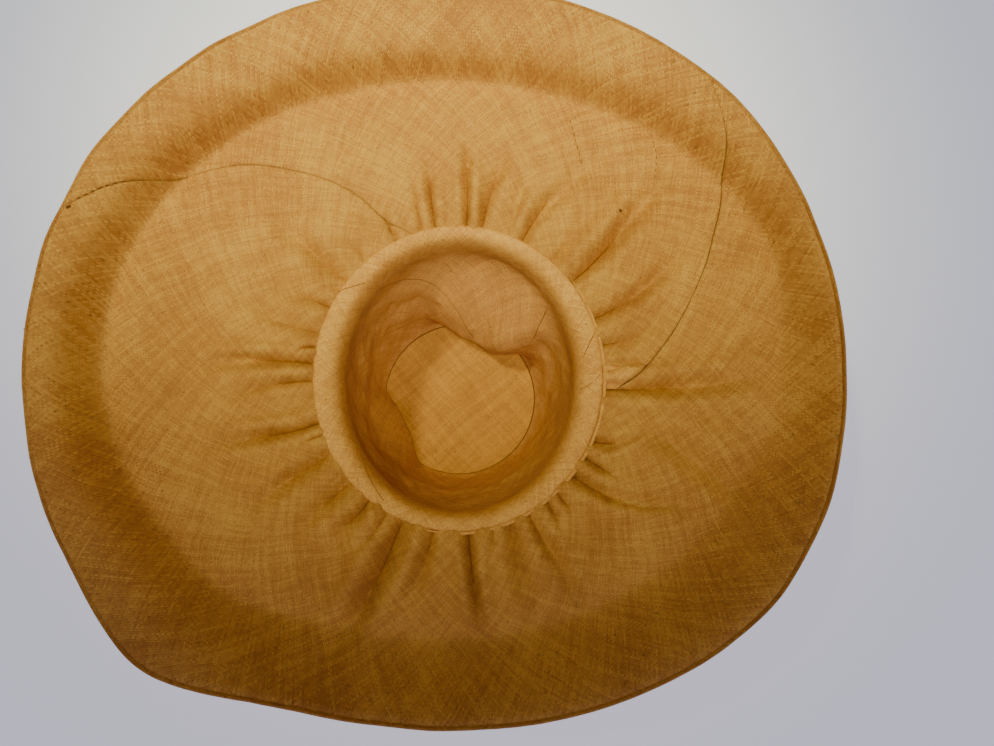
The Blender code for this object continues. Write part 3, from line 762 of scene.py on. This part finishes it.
RIGHT_SEAM = (
    # reach, direction
    (0.092, -6.0), (0.109, -1.0), (0.13, 8.5), (0.153, 18.0), (0.179, 27.4), (0.206, 36.5),
    (0.234, 51.3),
)
LEFT_SEAM = (
    # reach, direction
    (0.092, 106.0), (0.103, 112.5), (0.133, 119.3), (0.164, 127.7), (0.196, 137.6),
    (0.22, 147.6), (0.246, 157.5),
)
GATHERS = in_metres((
    # start, end, length, half_width, depth (mm)
    (2, 4, 18, 2.5, 2.6), (12, 11, 34, 3.9, 3.7), (23, 27, 62, 3.8, 4.5),
    (34, 34, 14, 3.4, 2.6), (40, 46, 76, 4.2, 6.2), (51, 51, 35, 3.4, 1.9),
    (65, 60, 52, 4.1, 5.6), (70, 71, 40, 3, 2.2), (81, 77, 56, 3.2, 4.1),
    (87, 88, 60, 2.8, 5.6), (99, 98, 52, 2.5, 3.6), (104, 103, 50, 2.5, 2.6),
    (115, 115, 30, 2.8, 3.4), (128, 127, 20, 3.4, 1.8), (140, 139, 52, 5.7, 4.1),
    (152, 155, 32, 3, 3.4), (163, 164, 44, 4.1, 3), (169, 173, 16, 2.5, 3.4),
    (175, 176, 78, 3.4, 5), (182, 189, 68, 3, 3.6), (199, 195, 56, 3.2, 5.6),
    (204, 203, 18, 2.3, 2.6), (212, 211, 52, 4.8, 4.5), (225, 221, 42, 4.8, 4.5),
    (235, 232, 32, 3, 4.5), (243, 239, 36, 3.4, 3.7), (249, 248, 76, 5.7, 6.4),
    (261, 259, 34, 4.1, 4.5), (274, 276, 64, 3.4, 6.4), (283, 279, 17, 2.5, 2.9),
    (289, 285, 50, 5.1, 4.1), (297, 298, 42, 3.7, 4.1), (305, 303, 24, 2.8, 3.4),
    (310, 310, 20, 2.3, 3), (319, 331, 70, 3.7, 5.6), (327, 327, 34, 3, 4.5),
    (334, 341, 24, 3.4, 4.5), (355, 358, 58, 4.1, 5.2),
), 2)
CREASES = (
    # direction, reach, half_spread, half_reach, depth
    (205, 0.185, 16, 0.04, 0.0022),
    (222, 0.15, 10, 0.03, -0.0018),
    (338, 0.165, 14, 0.03, 0.0024),
    (352, 0.185, 12, 0.028, -0.0022),
    (18, 0.165, 14, 0.03, -0.002),
    (45, 0.16, 12, 0.034, 0.0016),
    (150, 0.16, 18, 0.03, -0.0016),
    (240, 0.14, 12, 0.022, 0.0016),
    (300, 0.14, 14, 0.024, -0.0014),
)
ROOT_DEPTH = 0.7
ROOT_LENGTH = 0.004
FURROW_SHARPNESS = 1.7
FURROW_POWER = 1.15
LENGTH_POWER = 3
RIDGE_HEIGHT = 0.55
RIDGE_PLACE = 2.1
RIDGE_SPREAD = 1.2
PUCKER_COUNT = 92
SHARP_LENGTH = 0.85
SHARP_WIDTH = 0.55
SHARP_DEPTH = 0.22
FOLD_RISE = 0.032
FOLD_FADE = 0.5
FOLD_SHARPNESS = 1.2
FOLD_POWER = 1.5
SWELL_HEIGHT = 0.55
SWELL_PLACE = 2.0


def gather_depth(direction, reach, gathers):
    """Depth of many gathers together at each place of the brim."""
    distance = np.maximum(reach - head_reach(direction), 0.0)
    depth = np.zeros(np.broadcast(direction, reach).shape)
    for start, end, length, half_width, furrow in gathers:
        share = np.minimum(distance / length, 1.0)
        turn = turn_between(direction, start + turn_between(end, start) * share ** 2)
        across = np.radians(turn) * reach / half_width
        root = ROOT_DEPTH + (1.0 - ROOT_DEPTH) * np.minimum(distance / ROOT_LENGTH, 1.0)
        strength = furrow * fade(distance / length, LENGTH_POWER) * root
        ridge = RIDGE_HEIGHT * bell(np.abs(across) - RIDGE_PLACE, RIDGE_SPREAD)
        depth += strength * (np.exp(-FURROW_SHARPNESS * np.abs(across) ** FURROW_POWER) - ridge)
    return depth


def brim_profile(direction):
    """Reaches and heights of the brim's four knots in each direction, seam to rim."""
    columns = [interpolate(BRIM_SECTIONS, direction, column, 360.0) for column in range(1, 7)]
    reaches = [head_reach(direction), columns[0], columns[1], columns[2] - HEM_WIDTH - SEAM_GAP]
    heights = [0.0 * columns[0], columns[3], columns[4], columns[5]]
    return reaches, heights


def brim_height(direction, reach):
    """Height of the brim's mid-surface above the seam's plane, with gathers and creases."""
    reaches, heights = brim_profile(direction)
    rises = [(heights[i + 1] - heights[i]) / (reaches[i + 1] - reaches[i]) for i in range(3)]
    slopes = [rises[0] * 0.5]
    slopes += [2 * rises[i] * rises[i + 1] / (rises[i] + rises[i + 1]) for i in range(2)]
    slopes += [rises[2]]
    knot = (reach >= reaches[1]).astype(int) + (reach >= reaches[2]).astype(int)
    low, high = np.choose(knot, reaches[:3]), np.choose(knot, reaches[1:])
    span = high - low
    share = np.clip((reach - low) / span, 0.0, 1.0)
    height = curve_between(share, span, np.choose(knot, heights[:3]), np.choose(knot, heights[1:]),
                           np.choose(knot, slopes[:3]), np.choose(knot, slopes[1:]))
    for place, centre, half_spread, half_reach, hollow in CREASES:
        spread = turn_between(direction, place) / half_spread
        height = height - hollow * fade(np.hypot(spread, (reach - centre) / half_reach))
    return height - gather_depth(direction, reach, GATHERS)


def fine_gathers(count, seed):
    """Small puckers between the main gathers, as rows like those of the gathers' table."""
    draw = np.random.default_rng(seed)
    rows = []
    for number in range(count):
        start = (number + draw.uniform(-0.35, 0.35)) * 360.0 / count
        length = draw.uniform(0.008, 0.03)
        rows.append((start, start + draw.uniform(-3.0, 3.0), length,
                     draw.uniform(0.0009, 0.0018), draw.uniform(0.0002, 0.0007)))
    return rows


FOLDS = in_metres((
    # near_direction, far_direction, near_reach, far_reach, half_width, depth (mm)
    (5.6, 2.8, 88, 126, 2, 3.6), (10, 15, 98, 139, 3.2, 3), (23, 30, 94, 178, 5.9, 5.2),
    (39, 45, 94, 200, 5.9, 6.2), (51, 51, 100, 144, 3.8, 1.8), (63, 58, 94, 176, 5.2, 4.4),
    (73, 71, 94, 148, 3.8, 2.1), (82, 78, 94, 155, 5.2, 3), (88.5, 88, 94, 161, 3, 3),
    (101, 97, 94, 140, 3.8, 2.8), (141, 139, 94, 166, 5.6, 3), (163, 160, 94, 161, 4.5, 2.8),
    (175, 179, 94, 176, 4.1, 4), (200, 195, 94, 168, 4.1, 4.2), (212, 213, 94, 161, 4.5, 3.4),
    (224, 225, 94, 153, 4.5, 3), (236, 235, 94, 140, 4.5, 2.5), (250, 246, 94, 199, 6.5, 6.4),
    (262, 259, 94, 140, 4.5, 3.2), (274, 276, 94, 161, 3.2, 3.2), (288, 287, 94, 163, 5.6, 3.4),
    (299, 298, 94, 173, 3.9, 3.7), (319, 331, 94, 164, 4.5, 4.2), (329, 345, 93, 125, 3.5, 3.4),
    (346, 335, 106, 200, 8.1, 6.8), (355, 360, 100, 200, 5.4, 6),
), 2)
# small puckers, and a sharper crease at the bottom of each gather
PUCKERS = fine_gathers(PUCKER_COUNT, 5)
PUCKERS += [(start, end, length * SHARP_LENGTH, half_width * SHARP_WIDTH, depth * SHARP_DEPTH)
            for start, end, length, half_width, depth in GATHERS]


def fold_depth(direction, reach):
    """Depth of the long soft folds together at each place, with the swellings beside them."""
    depth = np.zeros(np.broadcast(direction, reach).shape)
    for near, far, near_reach, far_reach, half_width, fold in FOLDS:
        along = np.clip((reach - near_reach) / (far_reach - near_reach), 0.0, 1.0)
        turn = turn_between(direction, near + (far - near) * along)
        across = np.radians(turn) * reach / half_width
        strength = fold * np.clip((reach - near_reach) / FOLD_RISE, 0.0, 1.0)
        strength = strength * fade(np.maximum(along - FOLD_FADE, 0.0) / FOLD_FADE)
        swell = SWELL_HEIGHT * bell(np.abs(across) - SWELL_PLACE, 1.0)
        depth += strength * (np.exp(-FOLD_SHARPNESS * np.abs(across) ** FOLD_POWER) - swell)
    return depth


def brim_surface(direction, reach):
    """Points of the brim's mid-surface with its puckers, soft waves and uneven cloth."""
    x, y = (reach * part for part in step_towards(direction))
    height = brim_height(direction, reach) - gather_depth(direction, reach, PUCKERS)
    height = height - fold_depth(direction, reach)
    reaches = brim_profile(direction)[0]
    wide = np.clip((reaches[3] - reaches[2]) / 0.02, 0.0, 1.0)
    height = height - BEND_FOOT * bell(reach - reaches[1], BEND_FOOT_WIDTH)
    swell = bell(reach - reaches[2] - BEND_SWELL_PLACE, BEND_SWELL_WIDTH)
    height = height + BEND_SWELL * wide * swell
    near = fade(np.clip((reach - 0.11) / 0.12, 0.0, 1.0))
    height = height + 0.0007 * ripple(x, y, 0.06, 31)
    height = height + 0.00016 * ripple(x, y, 0.015, 32) * (0.4 + near)
    tucked = np.clip((head_reach(direction) - reach) / TUCK, 0.0, 1.0)
    return np.stack((HEAD_CENTRE[0] + x, HEAD_CENTRE[1] + y,
                     HEAD_CENTRE[2] + height - TUCK_DROP * tucked), axis=2)


def cloth_reach(direction, share):
    """Reach at each share of the way from a panel's tucked edge to its edge over the hem."""
    reaches = brim_profile(direction)[0]
    return reaches[0] - TUCK + (reaches[3] - reaches[0] + TUCK + OVER_HEM) * share


def seam_line(seam, share, shift):
    """Direction of a panel's edge at each share of the way from the opening out to the rim."""
    edge = np.full(share.shape, float(seam[0][1]))
    for _ in range(12):
        reach = cloth_reach(edge, share)
        edge = interpolate(seam, reach, 1) + np.degrees(shift / reach)
    return edge


def brim_panel(name, first_seam, last_seam, wraps, columns, on_top, grain):
    """One panel of the brim between two seams, as a closed sheet of cloth."""
    even = np.linspace(0.0, 1.0, BRIM_ROWS)
    share = 0.45 * even + 0.55 * even ** 2
    out = 0.5 * SEAM_GAP if on_top else -LAP
    first = seam_line(first_seam, share, out)[:, None]
    last = seam_line(last_seam, share, -out)[:, None] + (360.0 if wraps else 0.0)
    way = np.linspace(0.0, 1.0, columns)[None, :]
    direction = first + (last - first) * way
    reach = cloth_reach(direction, share[:, None])
    middle = brim_surface(direction, reach)
    to_first = np.radians(direction - first) * reach - (0.0 if on_top else LAP)
    to_last = np.radians(last - direction) * reach - (0.0 if on_top else LAP)
    to_seam = np.minimum(to_first, to_last)
    heavy = np.where((to_first < to_last) == on_top, 1.0, LEFT_SEAM_STRENGTH)
    if on_top:
        turned_in = 0.0004 * bell(to_seam - 0.003, 0.0016) - 0.0005 * bell(to_seam, 0.0007)
        pucker = 0.00022 * ripple(reach, 0.0 * reach, 0.006, 41) * bell(to_seam, 0.005)
        middle[:, :, 2] += turned_in + pucker
    else:
        drop = np.clip(1.0 - to_seam / SEAM_DROP_WIDTH, 0.0, 1.0) ** 1.5
        middle[:, :, 2] -= SEAM_DROP * heavy * drop
    turns, outward = np.radians(direction), np.log(reach / 0.094)
    tilt = math.radians(grain)
    weave = np.stack((turns * math.cos(tilt) - outward * math.sin(tilt),
                      turns * math.sin(tilt) + outward * math.cos(tilt)), axis=2)
    # the tone is the painted seam shade, full on the right seam and weaker on the left
    return woven_sheet(name, middle, weave, False, tone=bell(to_seam, SEAM_SHADE_WIDTH) * heavy)


brim_straw = straw_cloth("brim straw", BRIM_TONES, BRIM_YARNS_ROUND, streaks=0.55, seam=True)
upper_brim = brim_panel("upper_brim", RIGHT_SEAM, LEFT_SEAM, False, UPPER_COLUMNS, True,
                        UPPER_GRAIN)
lower_brim = brim_panel("lower_brim", LEFT_SEAM, RIGHT_SEAM, True, LOWER_COLUMNS, False,
                        LOWER_GRAIN)
for panel, node in ((upper_brim, "brim_panel_upper"), (lower_brim, "brim_panel_lower")):
    panel.data.materials.append(brim_straw)
    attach(panel, "root")
    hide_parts(node)


# Knots, loose yarns and stitches of the brim
# Thicker or darker yarns of the raffia run through the cloth here and there. The far end of the
# left join is whipped with dark stitches, and cut thread ends stand out at the rim.
BRIM_YARNS = (
    # kind, radius, places as (direction, reach)
    ("dotted", 0.00026, ((66.5, 0.1781), (62.8, 0.1652), (58.3, 0.1523))),
    ("dotted", 0.00022, ((54.3, 0.2016), (48.9, 0.1897), (45.6, 0.1784), (42.6, 0.1662))),
    ("pale", 0.00022, ((96.0, 0.1933), (91.8, 0.1821), (87.6, 0.1689))),
    ("dotted", 0.00018, ((142.6, 0.1444), (149.5, 0.1434), (157.0, 0.1433))),
    ("knot", 0.00105, ((45.3, 0.1462), (45.9, 0.1456))),
    ("knot", 0.00095, ((157.1, 0.2432), (157.6, 0.2446))),
    ("end", 0.0003, ((153.0, 0.2462), (153.3, 0.2488))),
    ("end", 0.0003, ((169.1, 0.2435), (168.8, 0.2462))),
    ("end", 0.0003, ((174.8, 0.243), (175.0, 0.2458))),
)
WHIP_START = 0.222
WHIP_END = 0.243
WHIP_STITCHES = 9
WHIP_RADIUS = 0.00027


def on_brim(direction, reach, lift):
    """Points that lie on the brim's upper side, lifted a little."""
    points = brim_surface(direction[None, :], reach[None, :])[0]
    points[:, 2] += CLOTH * 0.5 + lift
    return points


def in_dashes(path, radius):
    """Short lengths of a path with gaps between them, for a thread that comes up now and then."""
    return [(path[start:start + 4], radius) for start in range(0, len(path) - 4, 6)]


dark_yarns, pale_yarns = [], []
for kind, radius, places in BRIM_YARNS:
    yarn_direction, yarn_reach = smooth_way(places, each=24 if kind == "dotted" else 8)
    laid = on_brim(yarn_direction, yarn_reach, -0.3 * radius)
    if kind == "dotted":
        dark_yarns += in_dashes(laid, radius)
    else:
        (pale_yarns if kind == "pale" else dark_yarns).append((laid, radius))
whip_reach = np.linspace(WHIP_START, WHIP_END, WHIP_STITCHES * 6 + 1)
whip_direction = interpolate(LEFT_SEAM, whip_reach, 1)
dark_yarns += in_dashes(on_brim(whip_direction, whip_reach, 0.00015), WHIP_RADIUS)
brim_yarns = lay_threads("brim_yarns", dark_yarns, dark_thread)
pale_yarn = lay_threads("pale_yarn", pale_yarns, thread_material("pale yarn", (0.78, 0.45, 0.1)))


# The flap beside the band
# On the right, where the two panels meet the band, a corner of the upper panel's seam allowance is
# folded back over the join and lies as a small pale triangle on the brim. Its paleness is painted
# light: the flap wears the band's lighter straw for the light its fold catches.
FLAP_CORNERS = (
    # direction, reach
    (4.2, 0.0905),
    (2.0, 0.1116),
    (-4.7, 0.099),
    (-4.9, 0.0905),
)
FLAP_STEPS = 14
FLAP_LIFT = 0.0014
FLAP_DROP = 0.0024

share_out = np.linspace(0.0, 1.0, FLAP_STEPS)[:, None]
share_over = np.linspace(0.0, 1.0, FLAP_STEPS)[None, :]
flap_direction, flap_reach = (
    (corner[0] * (1 - share_out) + corner[1] * share_out) * (1 - share_over)
    + (corner[3] * (1 - share_out) + corner[2] * share_out) * share_over
    for corner in zip(*FLAP_CORNERS))
flap = brim_surface(flap_direction, flap_reach)
flap_x, flap_y, flap_z = (flap[:, :, axis] for axis in range(3))
flap_z[:] = np.maximum(flap_z, HEAD_CENTRE[2] - 0.0003) + FLAP_LIFT - FLAP_DROP * share_over ** 4
flap_z += 0.0003 * fade(share_over * 2.0 - 1.0) * (1.0 - share_out)
flap_weave = np.stack((flap_x * 0.8 + flap_y * 0.6, flap_y * 0.8 - flap_x * 0.6), axis=2)
seam_flap = woven_sheet("seam_flap", flap, flap_weave, False)
# painted light: the band's lighter straw makes the flap pale where its fold catches the light
seam_flap.data.materials.append(band_straw)
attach(seam_flap, "root")


# The hem round the rim
# The raw edge is rolled under and whipped down, so the rim ends in a narrow roll, golden on top
# and darker on its outer side.
HEM_HEIGHT = 0.0024
HEM_COLUMNS = 900
HEM_POINTS = 14
HEM_REACH = 0.225
HEM_GIRTH = 0.009
HEM_YARN = 0.0012
HEM_TONES = ((0.5, 0.215, 0.04), (0.64, 0.31, 0.056), (0.78, 0.43, 0.08))
HEM_SECTION = (
    # share of the hem's width outward, share of its half height up
    (0.2, -0.95), (0.6, -1.05), (0.94, -0.8), (1.0, -0.15), (0.95, 0.34), (0.78, 0.44),
    (0.56, 0.02), (0.2, -0.1),
)

direction = directions_round(HEM_COLUMNS)
rim_reach = brim_profile(direction)[0][3]
rim = brim_surface(direction[None, :], rim_reach[None, :])[0]
inside = brim_surface(direction[None, :], rim_reach[None, :] - 0.0008)[0]
around = np.roll(rim, -1, axis=0) - np.roll(rim, 1, axis=0)
around /= np.linalg.norm(around, axis=1, keepdims=True)
up = np.cross(rim - inside, around)
up /= np.linalg.norm(up, axis=1, keepdims=True)
out = np.cross(around, up)
section = [(along * HEM_WIDTH + SEAM_GAP, rise * HEM_HEIGHT * 0.5) for along, rise in HEM_SECTION]
outline = smooth_loop(section, HEM_POINTS, rounding=2)
hem = (rim[:, None, :] + out[:, None, :] * outline[None, :, :1]
       + up[:, None, :] * outline[None, :, 1:])
turns = (np.radians(directions_round(HEM_COLUMNS, 1)) * HEM_REACH)[:, None]
section_way = (np.arange(HEM_POINTS + 1) / HEM_POINTS * HEM_GIRTH)[None, :]
hem_weave = np.stack((turns + section_way * 0.6, section_way - turns * 0.6), axis=2)
rim_hem = rolled_strip("rim_hem", hem, hem_weave)
rim_hem.data.materials.append(straw_cloth("hem straw", HEM_TONES, 1.0 / HEM_YARN, streaks=0.4))
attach(rim_hem, "root")
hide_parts("brim_edge")


# The floor and the lights
# A plain pale floor, and two soft lights from above whose light is strongest on the far part of the
# brim and falls off towards its near side. A weak broad light fills the near side.
floor_mesh = bpy.data.meshes.new("floor")
floor_mesh.from_pydata([(-4, -4, 0), (4, -4, 0), (4, 4, 0), (-4, 4, 0)], [], [(0, 1, 2, 3)])
floor = put_in_scene("floor", floor_mesh)
floor_material, _, floor_shader = matte_material("floor", 0.8, 0.5)
floor_shader.inputs["Base Color"].default_value = (0.74, 0.74, 0.76, 1.0)
floor_shader.inputs["Emission Color"].default_value = (0.78, 0.83, 0.9, 1.0)
floor_shader.inputs["Emission Strength"].default_value = 0.62
floor_mesh.materials.append(floor_material)


def soft_light(kind, name, place, aim, power, size, colour):
    """A lamp of one kind that points from its place to its aim."""
    data = bpy.data.lights.new(name, kind)
    data.energy = power
    data.color = colour
    if kind == "AREA":
        data.shape = "DISK"
        data.size = size
    else:
        data.shadow_soft_size = size
    lamp = put_in_scene(name, data)
    lamp.location = place
    lamp.rotation_euler = (Vector(aim) - Vector(place)).to_track_quat("-Z", "Y").to_euler()
    return data


for name, place, aim, power, radius, width in (
        ("key light", (-0.8, 0.58, 2.06), (-0.05, 0.2, 0.12), 126.0, 0.12, 19.5),
        ("front light", (0.3, -0.34, 2.25), (-0.01, 0.2, 0.12), 182.0, 0.16, 18.5)):
    lamp = soft_light("SPOT", name, place, aim, power, radius, (1.0, 0.98, 0.66))
    lamp.spot_size = math.radians(width)
    lamp.spot_blend = 1.0
soft_light("AREA", "near light", (0.1, -0.7, 1.3), (0.0, -0.1, 0.1), 1.9, 0.7, (1.0, 0.68, 1.9))

world = bpy.data.worlds.new("room")
world.use_nodes = True
background = world.node_tree.nodes["Background"]
background.inputs["Color"].default_value = (1.0, 0.95, 1.06, 1.0)
background.inputs["Strength"].default_value = 0.12
bpy.context.scene.world = world
